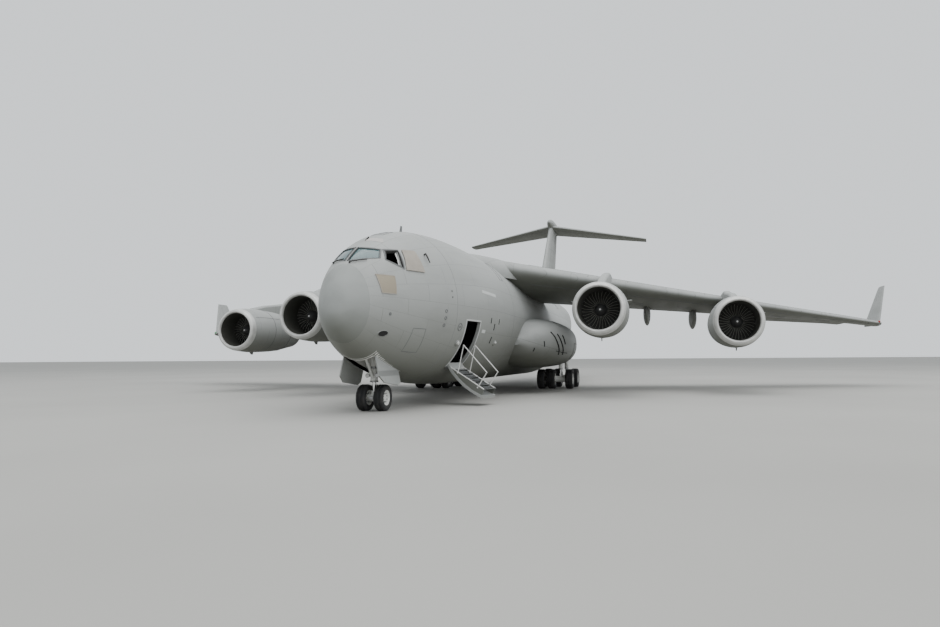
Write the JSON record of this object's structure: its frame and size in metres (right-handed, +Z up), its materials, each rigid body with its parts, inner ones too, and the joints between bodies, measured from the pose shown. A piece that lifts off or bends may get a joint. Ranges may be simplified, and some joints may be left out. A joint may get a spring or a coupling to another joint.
{
  "type": "four-engined military transport plane, scale model at 1:2",
  "caption": "High-winged T-tailed jet freighter on its landing gear: turning wheels and fans, moving flight surfaces, crew door stair, rear ramp and cargo door.",
  "frame": {"origin": "on the ground, under the middle of the plane's bounding box, with the gear down", "axes": "+X to port, +Y aft from the nose, +Z up; length lies along Y"},
  "size_m": [25.8872, 26.519, 8.395],
  "materials": {
    "skin": "matte",
    "composite_skin": "matte",
    "radome": "matte",
    "nacelle_paint": "satin",
    "core_steel": "satin",
    "fan_titanium": "satin",
    "gear_paint": "satin",
    "tyre": "matte",
    "glass": "gloss",
    "floor": "matte",
    "cabin": "matte"
  },
  "bodies": {
    "airframe": {"radome": "radome", "nose_section": "skin", "cockpit_glass": "glass", "flight_deck": "cabin", "forward_fuselage": "skin", "centre_fuselage": "skin", "aft_fuselage": "skin", "tail_cone": "skin", "cargo_floor": "floor", "wing_root_fairing": "skin", "fin": "composite_skin", "tailplane": "composite_skin", "wing_port": "skin", "wing_starboard": "skin", "gear_pod_port": "skin", "gear_pod_starboard": "skin", "pylon_inner_port": "skin", "pylon_inner_starboard": "skin", "nacelle_inner_port": "nacelle_paint", "nacelle_inner_starboard": "nacelle_paint", "engine_core_inner_port": "core_steel", "engine_core_inner_starboard": "core_steel", "pylon_outer_port": "skin", "pylon_outer_starboard": "skin", "nacelle_outer_port": "nacelle_paint", "nacelle_outer_starboard": "nacelle_paint", "engine_core_outer_port": "core_steel", "engine_core_outer_starboard": "core_steel", "nose_strut": "gear_paint", "nose_gear_door_port": "skin", "nose_gear_door_starboard": "skin", "main_leg_front_port": "gear_paint", "main_leg_front_starboard": "gear_paint", "main_leg_rear_port": "gear_paint", "main_leg_rear_starboard": "gear_paint"},
    "nose_steering": {"nose_leg": "gear_paint"},
    "nose_wheel_pair": {"nose_wheels": "tyre"},
    "main_axle_front_port": {"main_wheels_front_port": "tyre"},
    "main_axle_front_starboard": {"main_wheels_front_starboard": "tyre"},
    "main_axle_rear_port": {"main_wheels_rear_port": "tyre"},
    "main_axle_rear_starboard": {"main_wheels_rear_starboard": "tyre"},
    "fan_disc_inner_port": {"fan_inner_port": "fan_titanium"},
    "fan_disc_inner_starboard": {"fan_inner_starboard": "fan_titanium"},
    "fan_disc_outer_port": {"fan_outer_port": "fan_titanium"},
    "fan_disc_outer_starboard": {"fan_outer_starboard": "fan_titanium"},
    "flap_inner_port_panel": {"flap_inner_port": "composite_skin"},
    "flap_inner_starboard_panel": {"flap_inner_starboard": "composite_skin"},
    "flap_outer_port_panel": {"flap_outer_port": "composite_skin"},
    "flap_outer_starboard_panel": {"flap_outer_starboard": "composite_skin"},
    "aileron_port_panel": {"aileron_port": "composite_skin"},
    "aileron_starboard_panel": {"aileron_starboard": "composite_skin"},
    "elevator_port_panel": {"elevator_port": "composite_skin"},
    "elevator_starboard_panel": {"elevator_starboard": "composite_skin"},
    "rudder_lower_panel": {"rudder_lower": "composite_skin"},
    "rudder_upper_panel": {"rudder_upper": "composite_skin"},
    "crew_door_stair": {"crew_door": "skin"},
    "ramp_panel": {"ramp": "skin"},
    "cargo_door_panel": {"cargo_door": "skin"}
  },
  "joints": [
    {"name": "nose_steer", "type": "hinge", "parent": "airframe", "child": "nose_steering", "pos_m": [0, -11.585, 0.5], "axis": [0, 0, 1], "range_deg": [-60, 60]},
    {"name": "nose_wheels_spin", "type": "hinge", "parent": "nose_steering", "child": "nose_wheel_pair", "pos_m": [0, -11.585, 0.254], "axis": [1, 0, 0], "continuous": true},
    {"name": "main_front_port_spin", "type": "hinge", "parent": "airframe", "child": "main_axle_front_port", "pos_m": [2.1, -2.26, 0.3175], "axis": [1, 0, 0], "continuous": true},
    {"name": "main_front_starboard_spin", "type": "hinge", "parent": "airframe", "child": "main_axle_front_starboard", "pos_m": [-2.1, -2.26, 0.3175], "axis": [1, 0, 0], "continuous": true},
    {"name": "main_rear_port_spin", "type": "hinge", "parent": "airframe", "child": "main_axle_rear_port", "pos_m": [2.1, -0.85, 0.3175], "axis": [1, 0, 0], "continuous": true},
    {"name": "main_rear_starboard_spin", "type": "hinge", "parent": "airframe", "child": "main_axle_rear_starboard", "pos_m": [-2.1, -0.85, 0.3175], "axis": [1, 0, 0], "continuous": true},
    {"name": "fan_inner_port_spin", "type": "hinge", "parent": "airframe", "child": "fan_disc_inner_port", "pos_m": [3.985, -6.94513, 2.19], "axis": [0, 1, 0], "continuous": true},
    {"name": "fan_inner_starboard_spin", "type": "hinge", "parent": "airframe", "child": "fan_disc_inner_starboard", "pos_m": [-3.985, -6.94513, 2.19], "axis": [0, 1, 0], "continuous": true},
    {"name": "fan_outer_port_spin", "type": "hinge", "parent": "airframe", "child": "fan_disc_outer_port", "pos_m": [7.45, -4.8921, 1.94], "axis": [0, 1, 0], "continuous": true},
    {"name": "fan_outer_starboard_spin", "type": "hinge", "parent": "airframe", "child": "fan_disc_outer_starboard", "pos_m": [-7.45, -4.8921, 1.94], "axis": [0, 1, 0], "continuous": true},
    {"name": "flap_inner_port_turn", "type": "hinge", "parent": "airframe", "child": "flap_inner_port_panel", "pos_m": [3.55602, -1.53575, 2.31872], "axis": [-0.9514, -0.2973, 0.0801], "range_deg": [0, 40]},
    {"name": "flap_inner_starboard_turn", "type": "hinge", "parent": "airframe", "child": "flap_inner_starboard_panel", "pos_m": [-3.55602, -1.53575, 2.31872], "axis": [-0.9514, 0.2973, -0.0801], "range_deg": [0, 40]},
    {"name": "flap_outer_port_turn", "type": "hinge", "parent": "airframe", "child": "flap_outer_port_panel", "pos_m": [6.95602, -0.47327, 2.03233], "axis": [-0.9514, -0.2973, 0.0801], "range_deg": [0, 40]},
    {"name": "flap_outer_starboard_turn", "type": "hinge", "parent": "airframe", "child": "flap_outer_starboard_panel", "pos_m": [-6.95602, -0.47327, 2.03233], "axis": [-0.9514, 0.2973, -0.0801], "range_deg": [0, 40]},
    {"name": "aileron_port_turn", "type": "hinge", "parent": "airframe", "child": "aileron_port_panel", "pos_m": [10.2, 0.54047, 2.33594], "axis": [-0.9514, -0.2973, 0.0801], "range_deg": [-20, 20]},
    {"name": "aileron_starboard_turn", "type": "hinge", "parent": "airframe", "child": "aileron_starboard_panel", "pos_m": [-10.2, 0.54047, 2.33594], "axis": [-0.9514, 0.2973, -0.0801], "range_deg": [-20, 20]},
    {"name": "elevator_port_turn", "type": "hinge", "parent": "airframe", "child": "elevator_port_panel", "pos_m": [2.5, 12.53631, 7.7125], "axis": [-0.9802, -0.1691, 0.1029], "range_deg": [-20, 15]},
    {"name": "elevator_starboard_turn", "type": "hinge", "parent": "airframe", "child": "elevator_starboard_panel", "pos_m": [-2.5, 12.53631, 7.7125], "axis": [-0.9802, 0.1691, -0.1029], "range_deg": [-20, 15]},
    {"name": "rudder_lower_turn", "type": "hinge", "parent": "airframe", "child": "rudder_lower_panel", "pos_m": [0, 10.28325, 5.15], "axis": [0, 0.4644, 0.8856], "range_deg": [-22, 22]},
    {"name": "rudder_upper_turn", "type": "hinge", "parent": "airframe", "child": "rudder_upper_panel", "pos_m": [0, 11.17473, 6.85], "axis": [0, 0.4644, 0.8856], "range_deg": [-22, 22]},
    {"name": "crew_door_turn", "type": "hinge", "parent": "airframe", "child": "crew_door_stair", "pos_m": [0.97886, -9.635, 0.83], "axis": [0.1812, 0.9834, 0], "range_deg": [-101, 0]},
    {"name": "ramp_turn", "type": "hinge", "parent": "airframe", "child": "ramp_panel", "pos_m": [0, 2.243, 0.39], "axis": [-1, 0, 0], "range_deg": [0, 18.5]},
    {"name": "cargo_door_turn", "type": "hinge", "parent": "airframe", "child": "cargo_door_panel", "pos_m": [0, 7.84, 2.275], "axis": [-1, 0, 0], "range_deg": [0, 30]}
  ],
  "couplings": [
    {"joint": "flap_inner_starboard_turn", "follows": "flap_inner_port_turn", "ratio": 1},
    {"joint": "flap_outer_port_turn", "follows": "flap_inner_port_turn", "ratio": 1},
    {"joint": "flap_outer_starboard_turn", "follows": "flap_inner_port_turn", "ratio": 1},
    {"joint": "aileron_starboard_turn", "follows": "aileron_port_turn", "ratio": -1},
    {"joint": "elevator_starboard_turn", "follows": "elevator_port_turn", "ratio": 1},
    {"joint": "rudder_upper_turn", "follows": "rudder_lower_turn", "ratio": 1}
  ]
}
